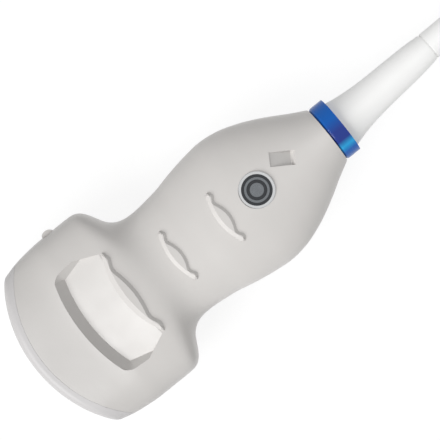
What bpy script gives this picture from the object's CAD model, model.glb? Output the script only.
from math import cos, pi, radians, sin

import bmesh
import bpy
from bpy.props import FloatProperty, FloatVectorProperty, IntProperty, PointerProperty
from bpy.types import Operator, Panel, PropertyGroup
from mathutils import Matrix, Vector


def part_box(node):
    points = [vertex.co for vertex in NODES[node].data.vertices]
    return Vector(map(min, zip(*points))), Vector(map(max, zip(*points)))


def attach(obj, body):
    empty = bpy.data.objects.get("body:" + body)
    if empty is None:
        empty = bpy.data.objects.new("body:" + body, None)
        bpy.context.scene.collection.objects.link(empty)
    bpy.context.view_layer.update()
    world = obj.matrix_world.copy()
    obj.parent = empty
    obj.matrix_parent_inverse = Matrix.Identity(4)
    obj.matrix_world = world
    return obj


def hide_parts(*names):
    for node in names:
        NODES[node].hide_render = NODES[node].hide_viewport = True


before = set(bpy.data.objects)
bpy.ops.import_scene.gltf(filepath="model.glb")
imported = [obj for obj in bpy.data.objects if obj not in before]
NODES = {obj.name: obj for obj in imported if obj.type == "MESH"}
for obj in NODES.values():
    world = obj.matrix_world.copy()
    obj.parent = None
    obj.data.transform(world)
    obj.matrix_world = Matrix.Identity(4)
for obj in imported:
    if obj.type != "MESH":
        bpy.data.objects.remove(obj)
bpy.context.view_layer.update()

bl_info = {
    "name": "Convex Ultrasound Probe",
    "version": (1, 0, 0),
    "blender": (4, 5, 0),
    "location": "View3D > Sidebar > Probe",
    "description": "Dresses the packed probe: finishes, cable, coil tie, connector and studio",
    "category": "Object",
}

MM = 0.001
LENS_LOW, LENS_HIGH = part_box("acoustic_lens")
LENS_APEX = Vector((LENS_LOW.x, 0.0, (LENS_LOW.z + LENS_HIGH.z) / 2))
ROOT = "root"


def tint(red, green, blue):
    """A display colour given from 0 to 255, as the linear values that a shader takes."""
    shares = [value / 255 for value in (red, green, blue)]
    return tuple(s / 12.92 if s <= 0.04045 else ((s + 0.055) / 1.055) ** 2.4 for s in shares)


def at(x, y=0.0, z=0.0):
    """A point in metres from millimetres behind the lens apex, to the side and over the probe's axis."""
    return LENS_APEX + Vector((x, y, z)) * MM


class ProbeFinish(PropertyGroup):
    """Colours and surface values of the probe's finishes."""

    housing: FloatVectorProperty(
        name="Housing",
        description="Colour of the moulded housing",
        subtype="COLOR",
        default=tint(216, 213, 210),
    )
    lens: FloatVectorProperty(
        name="Lens",
        description="Colour of the silicone lens",
        subtype="COLOR",
        default=tint(193, 191, 191),
    )
    collar: FloatVectorProperty(
        name="Collar",
        description="Colour of the band behind the housing",
        subtype="COLOR",
        default=tint(8, 92, 178),
    )
    collar_deep: FloatVectorProperty(
        name="Collar, deep",
        description="Colour of the band where it is deepest",
        subtype="COLOR",
        default=tint(36, 58, 138),
    )
    collar_pale: FloatVectorProperty(
        name="Collar, pale",
        description="Colour of the band where light passes through it",
        subtype="COLOR",
        default=tint(38, 160, 216),
    )
    boot: FloatVectorProperty(
        name="Strain relief",
        description="Colour of the strain relief",
        subtype="COLOR",
        default=tint(249, 249, 248),
    )
    cable: FloatVectorProperty(
        name="Cable",
        description="Colour of the cable's jacket",
        subtype="COLOR",
        default=tint(226, 227, 228),
    )
    badge_dark: FloatVectorProperty(
        name="Badge field",
        description="Colour of the badge's dark field",
        subtype="COLOR",
        default=tint(62, 64, 66),
    )
    badge_bright: FloatVectorProperty(
        name="Badge rim",
        description="Colour of the badge's turned metal",
        subtype="COLOR",
        default=tint(196, 197, 198),
    )
    tie: FloatVectorProperty(
        name="Tie",
        description="Colour of the woven band round the coil",
        subtype="COLOR",
        default=tint(44, 45, 48),
    )
    shell: FloatVectorProperty(
        name="Connector",
        description="Colour of the connector's shells",
        subtype="COLOR",
        default=tint(206, 204, 200),
    )
    plating: FloatVectorProperty(
        name="Contacts",
        description="Colour of the connector's plated contacts",
        subtype="COLOR",
        default=tint(222, 184, 104),
    )
    nose: FloatProperty(
        name="Nose",
        description="Tone of the housing by the lens against that of the handle",
        default=0.78,
        min=0.0,
    )
    grain: FloatProperty(
        name="Grain",
        description="Number of grains to a metre on moulded faces",
        default=2600.0,
        min=100.0,
    )


class ProbeCable(PropertyGroup):
    """Sizes of the cable and of its put-away coil."""

    diameter: FloatProperty(
        name="Diameter",
        description="Outer diameter of the cable",
        subtype="DISTANCE",
        unit="LENGTH",
        default=0.0075,
    )
    coil_width: FloatProperty(
        name="Coil",
        description="Diameter of the coil at the middle of its turns",
        subtype="DISTANCE",
        unit="LENGTH",
        default=0.075,
    )
    lift: FloatProperty(
        name="Lift",
        description="Height of the coil's lowest turn over the floor",
        subtype="DISTANCE",
        unit="LENGTH",
        default=0.0015,
    )
    layers: IntProperty(
        name="Layers",
        description="Turns that lie on each other in the coil",
        default=5,
        min=2,
    )
    points: IntProperty(
        name="Points",
        description="Points of the cable's line in each turn of the coil",
        default=16,
        min=12,
    )


class ProbeStage(PropertyGroup):
    """Camera and light."""

    height: FloatProperty(
        name="Camera height",
        description="Height of the camera over the probe's axis",
        subtype="DISTANCE",
        unit="LENGTH",
        default=0.9,
    )
    field: FloatProperty(
        name="Field",
        description="Side of the square that the picture shows at the probe's axis",
        subtype="DISTANCE",
        unit="LENGTH",
        default=0.1716,
    )
    turn: FloatProperty(
        name="Turn",
        description="Turn of the picture about the line of sight",
        subtype="ANGLE",
        unit="ROTATION",
        default=radians(-38.9),
    )
    key: FloatProperty(
        name="Key light",
        description="Power of the large soft light beyond the lens",
        subtype="POWER",
        unit="POWER",
        default=14.5,
    )
    tail: FloatProperty(
        name="Tail light",
        description="Power of the small soft light over the strain relief",
        subtype="POWER",
        unit="POWER",
        default=0.1,
    )
    sky: FloatProperty(
        name="Sky",
        description="Strength of the even light from all round",
        default=0.36,
        min=0.0,
    )


class Finish:
    """A node material on a Principled shader, built up one step at a time."""

    def __init__(self, name, colour, roughness, **constants):
        self.material = bpy.data.materials.new(name)
        self.material.use_nodes = True
        self.tree = self.material.node_tree
        self.shader = self.tree.nodes["Principled BSDF"]
        self.set(self.shader, "Base Color", (*colour, 1.0))
        self.set(self.shader, "Roughness", roughness)
        for socket, value in constants.items():
            self.set(self.shader, socket.replace("_", " ").title().replace("Ior", "IOR"), value)
        self.coords = self.node("ShaderNodeTexCoord").outputs["Object"]

    def node(self, kind, **settings):
        """A new node with its settings."""
        made = self.tree.nodes.new(kind)
        for key, value in settings.items():
            setattr(made, key, value)
        return made

    def set(self, node, socket, value):
        """Sets a socket's own value."""
        node.inputs[socket].default_value = value

    def link(self, output, node, socket):
        """Joins an output to a node's socket."""
        self.tree.links.new(output, node.inputs[socket])

    def noise(self, scale, detail=3.0, roughness=0.5):
        """A noise on the piece's own coordinates."""
        made = self.node("ShaderNodeTexNoise")
        self.link(self.coords, made, "Vector")
        self.set(made, "Scale", scale)
        self.set(made, "Detail", detail)
        self.set(made, "Roughness", roughness)
        return made.outputs["Fac"]

    def ranged(self, value, low, high, start=0.0, end=1.0):
        """A value mapped from one range to another."""
        made = self.node("ShaderNodeMapRange")
        self.link(value, made, "Value")
        self.set(made, "From Min", start)
        self.set(made, "From Max", end)
        self.set(made, "To Min", low)
        self.set(made, "To Max", high)
        return made.outputs["Result"]

    def mixed(self, value, first, second):
        """A colour between two others."""
        made = self.node("ShaderNodeMix", data_type="RGBA")
        self.link(value, made, "Factor")
        for socket in made.inputs:
            if socket.type == "RGBA":
                socket.default_value = (*(first if socket.name == "A" else second), 1.0)
        return next(output for output in made.outputs if output.type == "RGBA")

    def axis(self, index):
        """One of the piece's own three coordinates."""
        made = self.node("ShaderNodeSeparateXYZ")
        self.link(self.coords, made, "Vector")
        return made.outputs[index]

    def worked(self, operation, first, second):
        """Two values, or a value and a number, put together."""
        made = self.node("ShaderNodeMath", operation=operation)
        self.link(first, made, 0)
        if isinstance(second, float):
            self.set(made, 1, second)
        else:
            self.link(second, made, 1)
        return made.outputs[0]

    def away(self, value, middle):
        """The distance of a value from a number."""
        return self.worked("ABSOLUTE", self.worked("SUBTRACT", value, middle), 0.0)

    def along(self, direction, start):
        """The distance from a point in a direction."""
        made = self.node("ShaderNodeVectorMath", operation="DOT_PRODUCT")
        self.link(self.coords, made, 0)
        self.set(made, 1, direction)
        return self.worked("SUBTRACT", made.outputs["Value"], direction.dot(start))

    def radius(self, centre):
        """The distance in plan from a point."""
        flat = self.node("ShaderNodeVectorMath", operation="MULTIPLY")
        self.link(self.coords, flat, 0)
        self.set(flat, 1, (1.0, 1.0, 0.0))
        made = self.node("ShaderNodeVectorMath", operation="DISTANCE")
        self.link(flat.outputs["Vector"], made, 0)
        self.set(made, 1, (centre[0], centre[1], 0.0))
        return made.outputs["Value"]

    def ramp(self, value, stops, interpolation="LINEAR"):
        """Colours along a value from nought to one."""
        made = self.node("ShaderNodeValToRGB")
        made.color_ramp.interpolation = interpolation
        bands = made.color_ramp.elements
        while len(bands) < len(stops):
            bands.new(1.0)
        for band, (place, colour) in zip(bands, stops):
            band.position = place
            band.color = (*colour, 1.0)
        self.link(value, made, "Fac")
        return made.outputs["Color"]

    def scaled(self, colour, value):
        """A colour made lighter or darker by a value."""
        made = self.node("ShaderNodeVectorMath", operation="SCALE")
        self.link(colour, made, 0)
        self.link(value, made, "Scale")
        return made.outputs["Vector"]

    def bump(self, height, distance, strength=1.0):
        """Raises the surface by a height pattern."""
        made = self.node("ShaderNodeBump")
        self.link(height, made, "Height")
        self.set(made, "Distance", distance)
        self.set(made, "Strength", strength)
        return made.outputs["Normal"]


def moulded(name, colour, roughness, grain, depth=0.00002):
    """Moulded plastic: a fine spark-eroded grain, and a faint unevenness of tone and gloss."""
    finish = Finish(name, colour, roughness)
    cloud = finish.noise(34.0, 4.0)
    darker = tuple(value * 0.955 for value in colour)
    finish.tone = finish.mixed(finish.ranged(cloud, 0.0, 1.0, 0.3, 0.7), darker, colour)
    finish.link(finish.tone, finish.shader, "Base Color")
    uneven = finish.ranged(finish.noise(90.0), roughness - 0.06, roughness + 0.06, 0.3, 0.7)
    finish.link(uneven, finish.shader, "Roughness")
    finish.link(finish.bump(finish.noise(grain, 2.0, 0.6), depth), finish.shader, "Normal")
    return finish


def dress(material, *names):
    """Gives CAD nodes a material."""
    for name in names:
        slots = NODES[name].data.materials
        slots.clear()
        slots.append(material)


class PROBE_OT_stage(Operator):
    """Adds the camera over the probe, the soft light, the pale floor and the white surround"""

    bl_idname = "probe.stage"
    bl_label = "Stage"

    view_centre = (91.8, 0.5)
    key_place = (-1.0, -0.16, 0.82)
    key_side = 0.8
    tail_place = (246.0, 0.0, 190.0)
    tail_target = 226.0
    tail_side = 0.1
    floor_reach = 4.0
    floor_drop = 0.0002
    floor_tone = 0.8
    shadow_tone = 0.17
    floor_glow = 0.87

    def execute(self, context):
        settings = context.scene.probe_stage
        scene = context.scene
        scene.view_settings.view_transform = "Standard"

        camera = bpy.data.cameras.new("probe_camera")
        camera.lens = camera.sensor_width * settings.height / settings.field
        viewer = bpy.data.objects.new("probe_camera", camera)
        viewer.location = at(*self.view_centre, settings.height / MM)
        viewer.rotation_euler = (0.0, 0.0, settings.turn)
        scene.collection.objects.link(viewer)
        scene.camera = viewer

        self.lamp(scene, "key_light", self.key_place, settings.key, self.key_side)
        tail_place, tail_target = at(*self.tail_place), at(self.tail_target)
        self.lamp(scene, "tail_light", tail_place, settings.tail, self.tail_side, tail_target)

        self.surround(scene, settings.sky)
        self.floor(scene)
        return {"FINISHED"}

    def lamp(self, scene, name, place, power, side, target=(0.0, 0.0, 0.0)):
        """A square soft light that faces the probe, itself unseen."""
        data = bpy.data.lights.new(name, "AREA")
        data.energy = power
        data.size = side
        lamp = bpy.data.objects.new(name, data)
        lamp.location = place
        lamp.rotation_euler = (Vector(target) - Vector(place)).to_track_quat("-Z", "Y").to_euler()
        lamp.visible_camera = False
        scene.collection.objects.link(lamp)

    def seen(self, tree):
        """One for what the camera, a gloss or clear material sees, else nought."""
        path = tree.nodes.new("ShaderNodeLightPath")
        total = path.outputs["Is Camera Ray"]
        for ray in ("Is Glossy Ray", "Is Transmission Ray"):
            either = tree.nodes.new("ShaderNodeMath")
            either.operation = "MAXIMUM"
            tree.links.new(total, either.inputs[0])
            tree.links.new(path.outputs[ray], either.inputs[1])
            total = either.outputs[0]
        return total

    def surround(self, scene, sky):
        """A white surround that lights the probe evenly."""
        world = bpy.data.worlds.new("white_surround")
        world.use_nodes = True
        tree = world.node_tree
        tree.nodes.clear()
        seen = tree.nodes.new("ShaderNodeBackground")
        seen.inputs["Color"].default_value = (1, 1, 1, 1)
        light = tree.nodes.new("ShaderNodeBackground")
        light.inputs["Color"].default_value = (1, 1, 1, 1)
        light.inputs["Strength"].default_value = sky
        mix = tree.nodes.new("ShaderNodeMixShader")
        tree.links.new(self.seen(tree), mix.inputs[0])
        tree.links.new(light.outputs[0], mix.inputs[1])
        tree.links.new(seen.outputs[0], mix.inputs[2])
        out = tree.nodes.new("ShaderNodeOutputWorld")
        tree.links.new(mix.outputs[0], out.inputs["Surface"])
        scene.world = world

    def floor(self, scene):
        """A pale floor that keeps a faint shadow."""
        bm = bmesh.new()
        bmesh.ops.create_grid(bm, x_segments=1, y_segments=1, size=self.floor_reach)
        mesh = bpy.data.meshes.new("floor")
        bm.to_mesh(mesh)
        bm.free()
        floor = bpy.data.objects.new("floor", mesh)
        floor.location.z = -self.floor_drop
        scene.collection.objects.link(floor)
        paint = bpy.data.materials.new("pale_floor")
        paint.use_nodes = True
        tree = paint.node_tree
        tree.nodes.clear()
        plain = tree.nodes.new("ShaderNodeBsdfDiffuse")
        plain.inputs["Color"].default_value = (*[self.floor_tone] * 3, 1)
        faint = tree.nodes.new("ShaderNodeBsdfDiffuse")
        faint.inputs["Color"].default_value = (*[self.shadow_tone] * 3, 1)
        glow = tree.nodes.new("ShaderNodeEmission")
        glow.inputs["Strength"].default_value = self.floor_glow
        both = tree.nodes.new("ShaderNodeAddShader")
        tree.links.new(faint.outputs[0], both.inputs[0])
        tree.links.new(glow.outputs[0], both.inputs[1])
        mix = tree.nodes.new("ShaderNodeMixShader")
        tree.links.new(self.seen(tree), mix.inputs[0])
        tree.links.new(plain.outputs[0], mix.inputs[1])
        tree.links.new(both.outputs[0], mix.inputs[2])
        out = tree.nodes.new("ShaderNodeOutputMaterial")
        tree.links.new(mix.outputs[0], out.inputs["Surface"])
        mesh.materials.append(paint)


class PROBE_OT_cable(Operator):
    """Lays the cable from the strain relief through its coil to the connector"""

    bl_idname = "probe.cable"
    bl_label = "Cable"

    ring_rear = 151.7
    boot_tilt = radians(2.7)
    boot_length = 57.3
    boot_inside = 22.0
    boot_straight = 6.0
    coil_centre = (291.0, -5.1)
    coil_start = 118.0
    coil_end = 55.0
    run = 26.0
    connector = (394.0, 2.5)

    def place(self, settings, turned, column, level):
        """A point of the coil after so many degrees of winding, clockwise from above."""
        angle = radians(self.coil_start - turned)
        radius = settings.coil_width / MM / 2 + column * settings.diameter / MM / 2
        radius /= (1 + cos(2 * pi / settings.points)) / 2 * 0.5 + 0.5
        height = (settings.lift + settings.diameter * (level + 0.5)) / MM - LENS_APEX.z / MM
        x, y = self.coil_centre
        return at(x + radius * cos(angle), y + radius * sin(angle), height)

    def winding(self, settings):
        """The coil's turns: in at the foot of the outer column, up the inner one and down the outer one."""
        top = settings.layers - 1
        sweep = self.coil_start - self.coil_end
        down = 360.0 * (top - 1)
        total = sweep + 360.0 * (2 * top)
        over_end = total - down
        over_start = over_end - 90.0
        up_start = over_start - 360.0 * top
        in_start = up_start - 90.0
        step = 360.0 / settings.points
        points = []
        turned = step / 2
        while turned < total - step / 4:
            if turned < up_start:
                share = min(1.0, max(0.0, (turned - in_start) / 90.0))
                column, level = 1 - 2 * share, 0.0
            elif turned < over_start:
                column, level = -1.0, (turned - up_start) / 360.0
            else:
                share = min(1.0, (turned - over_start) / 90.0)
                column, level = 2 * share - 1, top - max(0.0, turned - over_end) / 360.0
            points.append(self.place(settings, turned, column, level))
            turned += step
        return points

    def execute(self, context):
        settings = context.scene.probe_cable
        finish = context.scene.probe_finish
        along = Vector((cos(self.boot_tilt), sin(self.boot_tilt), 0))
        foot = at(self.ring_rear)
        mouth = foot + self.boot_length * MM * along
        turns = self.winding(settings)
        radius = (settings.coil_width + settings.diameter) / 2 / MM
        first = settings.lift + settings.diameter / 2 - LENS_APEX.z
        x, y = self.coil_centre
        enter, leave = radians(self.coil_start), radians(self.coil_end)
        inlet = at(x + radius * cos(enter), y + radius * sin(enter), first / MM)
        outlet = at(x + radius * cos(leave), y + radius * sin(leave), (first + settings.diameter) / MM)
        inward = Vector((sin(enter), -cos(enter), 0)) * self.run * MM
        onward = Vector((sin(leave), -cos(leave), 0)) * self.run * MM
        end_x, end_y = self.connector
        level = 11.0 - LENS_APEX.z / MM
        route = [
            mouth - self.boot_inside * MM * along,
            mouth + self.boot_straight * MM * along,
            at(234.0, 8.0, -5.0),
            inlet - inward,
            inlet,
            *turns,
            outlet,
            outlet + onward,
            at(358.0, 4.6, -9.0),
            at(375.0, end_y, level),
            at(end_x + 2.2, end_y, level),
        ]
        curve = bpy.data.curves.new("cable", "CURVE")
        curve.dimensions = "3D"
        curve.bevel_depth = settings.diameter / 2
        curve.bevel_resolution = 6
        curve.resolution_u = 6
        curve.use_fill_caps = True
        line = curve.splines.new("NURBS")
        line.points.add(len(route) - 1)
        for point, place in zip(line.points, route):
            point.co = (*place, 1.0)
        line.order_u = 3
        line.use_endpoint_u = True
        cable = bpy.data.objects.new("cable", curve)
        context.scene.collection.objects.link(cable)
        jacket = moulded("cable_jacket", finish.cable, 0.5, finish.grain * 0.6, 0.00001)
        curve.materials.append(jacket.material)
        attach(cable, ROOT)
        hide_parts("cable_lead", "cable_coil", "cable_tail")
        return {"FINISHED"}


class PROBE_OT_housing(Operator):
    """Finishes the two shells of the housing in fine moulded plastic with a parting line"""

    bl_idname = "probe.housing"
    bl_label = "Housing"

    roughness = 0.36
    nose_run = (14.0, 56.0)
    line_tone = 0.45
    line_edges = (0.06, 0.16)
    pocket_centre = (125.2, 3.9)
    pocket_turn = radians(-32.0)
    pocket_floor = (-5.0, 3.5)
    pocket_side = 2.9
    pocket_edge = 0.25
    pocket_tone = 0.72

    def pocket(self, shell):
        """A deeper tone on the floor of the orientation pocket."""
        middle = at(*self.pocket_centre)
        length = Vector((cos(self.pocket_turn), sin(self.pocket_turn), 0.0))
        breadth = Vector((-length.y, length.x, 0.0))
        near, far = (edge * MM for edge in self.pocket_floor)
        step = self.pocket_edge * MM
        run = shell.away(shell.along(length, middle), (near + far) / 2)
        inside = shell.ranged(run, 1.0, 0.0, (far - near) / 2 - step, (far - near) / 2)
        width = shell.away(shell.along(breadth, middle), 0.0)
        within = shell.ranged(width, 1.0, 0.0, self.pocket_side * MM - step, self.pocket_side * MM)
        upper = shell.ranged(shell.axis("Z"), 0.0, 1.0, LENS_APEX.z, LENS_APEX.z + step)
        mask = shell.worked("MULTIPLY", shell.worked("MULTIPLY", inside, within), upper)
        return shell.ranged(mask, 1.0, self.pocket_tone)

    def execute(self, context):
        finish = context.scene.probe_finish
        shell = moulded("housing_plastic", finish.housing, self.roughness, finish.grain)
        nose_start, nose_end = (at(station).x for station in self.nose_run)
        front = shell.ranged(shell.axis("X"), finish.nose, 1.0, nose_start, nose_end)
        dark, clear = (edge * MM for edge in self.line_edges)
        line = shell.ranged(shell.away(shell.axis("Z"), LENS_APEX.z), self.line_tone, 1.0, dark, clear)
        shade = shell.worked("MULTIPLY", shell.worked("MULTIPLY", front, line), self.pocket(shell))
        shell.link(shell.scaled(shell.tone, shade), shell.shader, "Base Color")
        dress(shell.material, "face_shell", "back_shell")
        return {"FINISHED"}


class PROBE_OT_lens(Operator):
    """Finishes the acoustic lens in smooth silicone"""

    bl_idname = "probe.lens"
    bl_label = "Lens"

    def execute(self, context):
        finish = context.scene.probe_finish
        silicone = moulded("lens_silicone", finish.lens, 0.44, finish.grain * 0.4, 0.00001)
        dress(silicone.material, "acoustic_lens")
        return {"FINISHED"}


class PROBE_OT_badge(Operator):
    """Finishes the badge in turned metal with plain dark rings"""

    bl_idname = "probe.badge"
    bl_label = "Badge"

    rings = (2.7, 4.0, 4.9, 6.05)

    def execute(self, context):
        finish = context.scene.probe_finish
        low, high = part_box("badge")
        reach = (high.x - low.x) / 2
        metal = Finish("badge_metal", finish.badge_bright, 0.26, metallic=1.0)
        radius = metal.radius((low + high) / 2)
        share = metal.worked("DIVIDE", radius, reach)
        inner, first, second, rim = (ring * MM / reach for ring in self.rings)
        field = tuple(value * 3.4 for value in finish.badge_dark)
        colours = (
            (0.0, field),
            (inner, finish.badge_dark),
            (first, field),
            (second, finish.badge_dark),
            (rim, finish.badge_bright),
        )
        metal.link(metal.ramp(share, colours, "CONSTANT"), metal.shader, "Base Color")
        turned = metal.node("ShaderNodeTexNoise", noise_dimensions="1D")
        metal.link(metal.worked("MULTIPLY", radius, 9000.0), turned, "W")
        metal.set(turned, "Scale", 1.0)
        metal.link(metal.ranged(turned.outputs["Fac"], 0.2, 0.42, 0.3, 0.7), metal.shader, "Roughness")
        metal.link(metal.bump(turned.outputs["Fac"], 0.00002), metal.shader, "Normal")
        dress(metal.material, "badge")
        return {"FINISHED"}


class PROBE_OT_collar(Operator):
    """Finishes the collar in polished tinted plastic"""

    bl_idname = "probe.collar"
    bl_label = "Collar"

    def execute(self, context):
        finish = context.scene.probe_finish
        low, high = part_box("colour_ring")
        gloss = moulded("collar_gloss", finish.collar, 0.14, finish.grain * 0.3, 0.000004)
        gloss.set(gloss.shader, "Specular IOR Level", 0.22)
        share = gloss.ranged(gloss.axis("Y"), 0.0, 1.0, low.y, high.y)
        colours = (
            (0.0, finish.collar),
            (0.1, finish.collar),
            (0.19, finish.collar_pale),
            (0.29, finish.collar_deep),
            (0.46, finish.collar_deep),
            (0.66, finish.collar),
        )
        gloss.link(gloss.ramp(share, colours), gloss.shader, "Base Color")
        dress(gloss.material, "colour_ring")
        return {"FINISHED"}


class PROBE_OT_boot(Operator):
    """Finishes the strain relief in smooth elastomer"""

    bl_idname = "probe.boot"
    bl_label = "Strain relief"

    def execute(self, context):
        finish = context.scene.probe_finish
        rubber = moulded("boot_rubber", finish.boot, 0.5, finish.grain * 0.7, 0.00001)
        dress(rubber.material, "strain_relief", "connector_boot")
        return {"FINISHED"}


class PROBE_OT_connector(Operator):
    """Finishes the connector's shells, with the line where they meet"""

    bl_idname = "probe.connector"
    bl_label = "Connector"

    def execute(self, context):
        finish = context.scene.probe_finish
        shell = moulded("connector_plastic", finish.shell, 0.45, finish.grain)
        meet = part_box("connector_lower_shell")[1].z
        line = shell.ranged(shell.away(shell.axis("Z"), meet), 0.4, 1.0, 0.06 * MM, 0.16 * MM)
        shell.link(shell.scaled(shell.tone, line), shell.shader, "Base Color")
        dress(shell.material, "connector_lower_shell", "connector_upper_shell")
        return {"FINISHED"}


class PROBE_OT_contacts(Operator):
    """Adds two rows of plated contacts in the connector's slot"""

    bl_idname = "probe.contacts"
    bl_label = "Contacts"

    count = 16
    pitch = 1.05
    finger = (3.6, 0.6, 0.25)
    slot_height = 3.0
    inset = 0.5

    def execute(self, context):
        finish = context.scene.probe_finish
        low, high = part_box("contact_block")
        middle = (low + high) / 2
        long, wide, thick = (size * MM for size in self.finger)
        bm = bmesh.new()
        for row in (1, -1):
            for index in range(self.count):
                y = middle.y + (index - (self.count - 1) / 2) * self.pitch * MM
                z = middle.z + row * (self.slot_height * MM - thick) / 2
                place = Matrix.Translation((high.x - self.inset * MM - long / 2, y, z))
                shape = Matrix.Diagonal((long, wide, thick, 1.0))
                bmesh.ops.create_cube(bm, size=1.0, matrix=place @ shape)
        mesh = bpy.data.meshes.new("contact_fingers")
        bm.to_mesh(mesh)
        bm.free()
        fingers = bpy.data.objects.new("contact_fingers", mesh)
        context.scene.collection.objects.link(fingers)
        plating = Finish("contact_plating", finish.plating, 0.25, metallic=1.0)
        wear = plating.noise(900.0)
        plating.link(plating.ranged(wear, 0.18, 0.4, 0.3, 0.7), plating.shader, "Roughness")
        mesh.materials.append(plating.material)
        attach(fingers, ROOT)
        return {"FINISHED"}


class PROBE_OT_tie(Operator):
    """Finishes the band round the coil as a tight weave"""

    bl_idname = "probe.tie"
    bl_label = "Coil tie"

    threads = 520.0

    def execute(self, context):
        finish = context.scene.probe_finish
        band = Finish("tie_weave", finish.tie, 0.85)
        heights = []
        for direction in ("X", "Y", "Z"):
            thread = band.node("ShaderNodeTexWave", bands_direction=direction)
            band.link(band.coords, thread, "Vector")
            band.set(thread, "Scale", self.threads)
            band.set(thread, "Distortion", 0.6)
            heights.append(thread.outputs["Fac"])
        weave = band.worked("MAXIMUM", band.worked("MULTIPLY", heights[0], heights[1]), heights[2])
        pale = tuple(value * 2.2 for value in finish.tie)
        band.link(band.mixed(weave, finish.tie, pale), band.shader, "Base Color")
        band.link(band.bump(weave, 0.0002, 0.8), band.shader, "Normal")
        dress(band.material, "coil_tie")
        return {"FINISHED"}


class PROBE_OT_inside(Operator):
    """Finishes what the housing and the connector hold"""

    bl_idname = "probe.inside"
    bl_label = "Inside"

    finishes = (
        ("filled_epoxy", (150, 146, 138), 0.5, ("outer_matching_layer", "inner_matching_layer")),
        ("sintered_ceramic", (214, 200, 168), 0.35, ("piezo_array",)),
        ("damping_rubber", (70, 68, 68), 0.7, ("backing_block",)),
        ("dark_nylon", (74, 75, 78), 0.5, ("array_frame", "clamp_saddle", "clamp_cap")),
        ("coated_laminate", (24, 96, 62), 0.3, ("interconnect_board", "connector_board")),
        ("dark_insulator", (42, 43, 46), 0.45, ("upper_socket", "lower_socket", "contact_block")),
        ("polyimide_film", (196, 132, 48), 0.3, ("upper_flex_circuit", "lower_flex_circuit")),
        ("wire_bundle", (188, 184, 180), 0.5, ("coax_bundle",)),
    )
    steel = ("board_screws", "clamp_screws", "connector_screws", "cable_ferrule")

    def execute(self, context):
        grain = context.scene.probe_finish.grain
        for name, colour, roughness, pieces in self.finishes:
            dress(moulded(name, tint(*colour), roughness, grain).material, *pieces)
        metal = Finish("plain_steel", tint(190, 192, 195), 0.3, metallic=1.0)
        metal.link(metal.ranged(metal.noise(1500.0), 0.22, 0.42, 0.3, 0.7), metal.shader, "Roughness")
        dress(metal.material, *self.steel)
        return {"FINISHED"}


class PROBE_PT_panel(Panel):
    """Lists the probe's pieces"""

    bl_idname = "PROBE_PT_panel"
    bl_label = "Probe"
    bl_space_type = "VIEW_3D"
    bl_region_type = "UI"
    bl_category = "Probe"

    def draw(self, context):
        for operator in OPERATORS:
            self.layout.operator(operator.bl_idname)
        for group in ("probe_finish", "probe_cable", "probe_stage"):
            settings = getattr(context.scene, group)
            for name in settings.__annotations__:
                self.layout.prop(settings, name)


OPERATORS = (
    PROBE_OT_stage,
    PROBE_OT_contacts,
    PROBE_OT_cable,
    PROBE_OT_housing,
    PROBE_OT_lens,
    PROBE_OT_badge,
    PROBE_OT_collar,
    PROBE_OT_boot,
    PROBE_OT_connector,
    PROBE_OT_tie,
    PROBE_OT_inside,
)
CLASSES = (ProbeFinish, ProbeCable, ProbeStage, *OPERATORS, PROBE_PT_panel)


def register():
    """Registers the classes and the scene's settings."""
    for cls in CLASSES:
        bpy.utils.register_class(cls)
    bpy.types.Scene.probe_finish = PointerProperty(type=ProbeFinish)
    bpy.types.Scene.probe_cable = PointerProperty(type=ProbeCable)
    bpy.types.Scene.probe_stage = PointerProperty(type=ProbeStage)


def unregister():
    """Takes the classes and the settings out again."""
    del bpy.types.Scene.probe_finish
    del bpy.types.Scene.probe_cable
    del bpy.types.Scene.probe_stage
    for cls in reversed(CLASSES):
        bpy.utils.unregister_class(cls)


def main():
    """Makes the whole scene and notes its size."""
    register()
    bpy.ops.probe.stage()
    bpy.ops.probe.contacts()
    bpy.ops.probe.cable()
    bpy.ops.probe.housing()
    bpy.ops.probe.lens()
    bpy.ops.probe.badge()
    bpy.ops.probe.collar()
    bpy.ops.probe.boot()
    bpy.ops.probe.connector()
    bpy.ops.probe.tie()
    bpy.ops.probe.inside()


if __name__ == "__main__":
    main()
